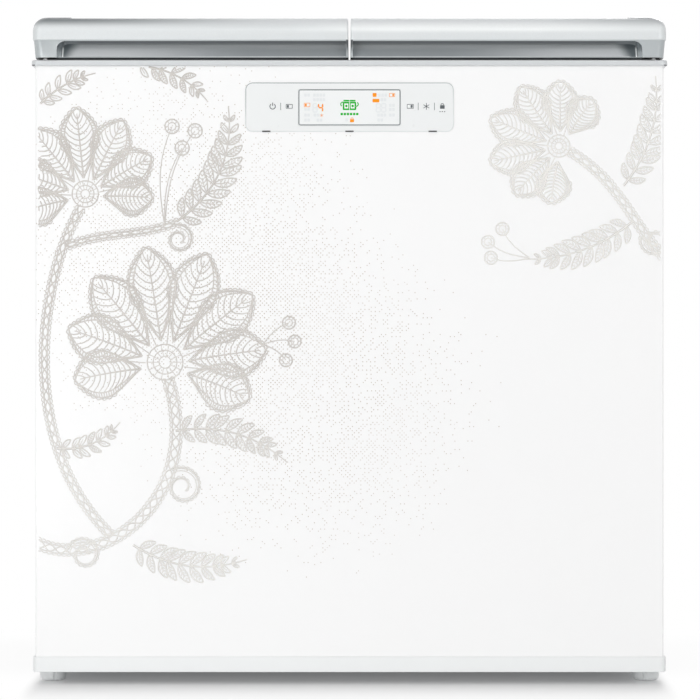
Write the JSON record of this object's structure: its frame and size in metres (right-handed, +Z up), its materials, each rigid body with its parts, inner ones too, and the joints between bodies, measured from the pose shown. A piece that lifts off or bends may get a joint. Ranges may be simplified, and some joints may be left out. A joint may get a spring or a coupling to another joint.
{
  "type": "kimchi refrigerator",
  "caption": "Chest-height kimchi refrigerator that opens from above: side-by-side hinged lids with grip recesses over insulated tubs, control panel in front, feet and rollers below.",
  "frame": {"origin": "on the floor, under the middle of the whole outline", "axes": "+Z up, the control panel faces -Y, +X to the right as seen from the front"},
  "size_m": [0.8818, 0.72, 0.9239],
  "materials": {
    "white_steel": "gloss",
    "lid_top": "gloss",
    "silver_trim": "satin",
    "zinc_steel": "satin",
    "spring_steel": "satin",
    "white_plastic": "satin",
    "grey_plastic": "satin",
    "black_plastic": "satin",
    "display_lens": "gloss",
    "circuit_board": "satin",
    "foam": "matte",
    "tub_aluminium": "satin",
    "copper_tube": "satin",
    "black_enamel": "satin",
    "seal_rubber": "matte",
    "bumper_rubber": "satin"
  },
  "bodies": {
    "cabinet": {"front_panel": "white_steel", "side_panel_left": "white_steel", "side_panel_right": "white_steel", "top_collar": "silver_trim", "back_panel": "zinc_steel", "base_pan": "zinc_steel", "machine_ceiling": "zinc_steel", "machine_cover": "zinc_steel", "fan_motor": "zinc_steel", "roller_bracket_left": "zinc_steel", "roller_bracket_right": "zinc_steel", "hinge_bracket_left_inner": "zinc_steel", "hinge_bracket_left_outer": "zinc_steel", "hinge_bracket_right_inner": "zinc_steel", "hinge_bracket_right_outer": "zinc_steel", "hinge_pin_left_inner": "zinc_steel", "hinge_pin_left_outer": "zinc_steel", "hinge_pin_right_inner": "zinc_steel", "hinge_pin_right_outer": "zinc_steel", "hinge_spring_left_inner": "spring_steel", "hinge_spring_left_outer": "spring_steel", "hinge_spring_right_inner": "spring_steel", "hinge_spring_right_outer": "spring_steel", "kick_strip": "white_plastic", "display_bezel": "white_plastic", "control_box": "white_plastic", "rear_spacer_left": "grey_plastic", "rear_spacer_right": "grey_plastic", "cord_inlet": "black_plastic", "fan_shroud": "black_plastic", "display_window": "display_lens", "display_board": "circuit_board", "foam_body": "foam", "tub_left": "tub_aluminium", "tub_right": "tub_aluminium", "condenser": "copper_tube", "evaporator_left": "copper_tube", "evaporator_right": "copper_tube", "compressor": "black_enamel", "lid_bumper_left": "bumper_rubber", "lid_bumper_right": "bumper_rubber"},
    "lid_left": {"lid_frame_left": "silver_trim", "lid_top_panel_left": "lid_top", "lid_liner_left": "white_plastic", "lid_foam_left": "foam", "lid_gasket_left": "seal_rubber", "hinge_arm_left_inner": "zinc_steel", "hinge_arm_left_outer": "zinc_steel"},
    "lid_right": {"lid_frame_right": "silver_trim", "lid_top_panel_right": "lid_top", "lid_liner_right": "white_plastic", "lid_foam_right": "foam", "lid_gasket_right": "seal_rubber", "hinge_arm_right_inner": "zinc_steel", "hinge_arm_right_outer": "zinc_steel"},
    "foot_left": {"foot_left": "grey_plastic"},
    "foot_right": {"foot_right": "grey_plastic"},
    "roller_left": {"roller_left": "white_plastic"},
    "roller_right": {"roller_right": "white_plastic"},
    "fan": {"fan_blade": "white_plastic"}
  },
  "joints": [
    {"name": "lid_left_hinge", "type": "hinge", "parent": "cabinet", "child": "lid_left", "pos_m": [-0.22, 0.33, 0.8856], "axis": [-1, 0, 0], "range_deg": [0, 80], "stiffness_Nm_per_rad": 4, "springref_deg": 133.5},
    {"name": "lid_right_hinge", "type": "hinge", "parent": "cabinet", "child": "lid_right", "pos_m": [0.22, 0.33, 0.8856], "axis": [-1, 0, 0], "range_deg": [0, 80], "stiffness_Nm_per_rad": 4, "springref_deg": 133.5},
    {"name": "foot_left_screw", "type": "slide", "parent": "cabinet", "child": "foot_left", "axis": [0, 0, -1], "range_m": [0, 0.015]},
    {"name": "foot_right_screw", "type": "slide", "parent": "cabinet", "child": "foot_right", "axis": [0, 0, -1], "range_m": [0, 0.015]},
    {"name": "roller_left_axle", "type": "hinge", "parent": "cabinet", "child": "roller_left", "pos_m": [-0.3795, 0.27, 0.014], "axis": [1, 0, 0], "continuous": true},
    {"name": "roller_right_axle", "type": "hinge", "parent": "cabinet", "child": "roller_right", "pos_m": [0.3795, 0.27, 0.014], "axis": [1, 0, 0], "continuous": true},
    {"name": "fan_spin", "type": "hinge", "parent": "cabinet", "child": "fan", "pos_m": [-0.0525, 0.155, 0.1175], "axis": [1, 0, 0], "continuous": true}
  ]
}
